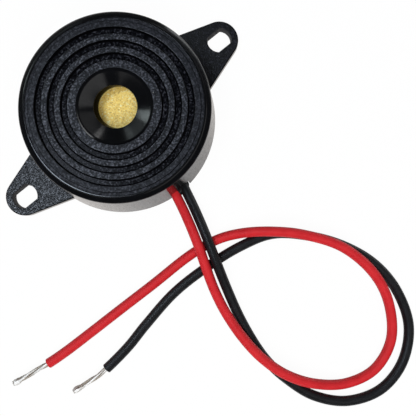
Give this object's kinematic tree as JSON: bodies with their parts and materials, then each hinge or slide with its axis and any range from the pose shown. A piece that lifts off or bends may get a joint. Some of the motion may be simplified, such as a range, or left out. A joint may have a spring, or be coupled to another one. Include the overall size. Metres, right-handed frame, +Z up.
{
  "type": "piezo buzzer",
  "caption": "Round black self-driven piezo buzzer with a ringed face, a dished sound hole, flat screw lugs, and a red and a black lead.",
  "frame": {"origin": "centre of the drum's base, on the surface that the lugs are screwed to", "axes": "+X along the line through the two screw holes, +Z up out of the sound hole, and the leads leave the drum at -Y"},
  "size_m": [0.0633, 0.0757, 0.01],
  "materials": {
    "case_plastic": "black moulded plastic, spark-textured lands, polished dish and lip",
    "brass": "rolled",
    "silvered_ceramic": "fired silver electrode",
    "clear_adhesive": "cured silicone",
    "board": "solder mask over glass-epoxy",
    "black_glue": "cured epoxy",
    "chip_plastic": "moulded",
    "resistor_ceramic": "glazed",
    "tinned_metal": "tinned",
    "solder": "bright",
    "red_pvc": "satin",
    "black_pvc": "satin"
  },
  "bodies": {
    "root": {"housing": "case_plastic", "brass_diaphragm": "brass", "piezo_ceramic": "silvered_ceramic", "diaphragm_adhesive": "clear_adhesive", "circuit_board": "board", "board_adhesive": "clear_adhesive", "lead_anchor_glue": "black_glue", "transistor_body": "chip_plastic", "transistor_legs": "tinned_metal", "base_resistor": "resistor_ceramic", "collector_resistor": "resistor_ceramic", "feedback_resistor": "resistor_ceramic", "protection_diode": "chip_plastic", "ceramic_link": "tinned_metal", "feedback_link": "tinned_metal", "brass_link": "tinned_metal", "disc_solder_joints": "solder", "board_solder_joints": "solder", "lead_solder_joints": "solder", "component_solder_joints": "solder", "red_lead": "red_pvc", "red_lead_bare_ends": "tinned_metal", "black_lead": "black_pvc", "black_lead_bare_ends": "tinned_metal"}
  },
  "joints": []
}
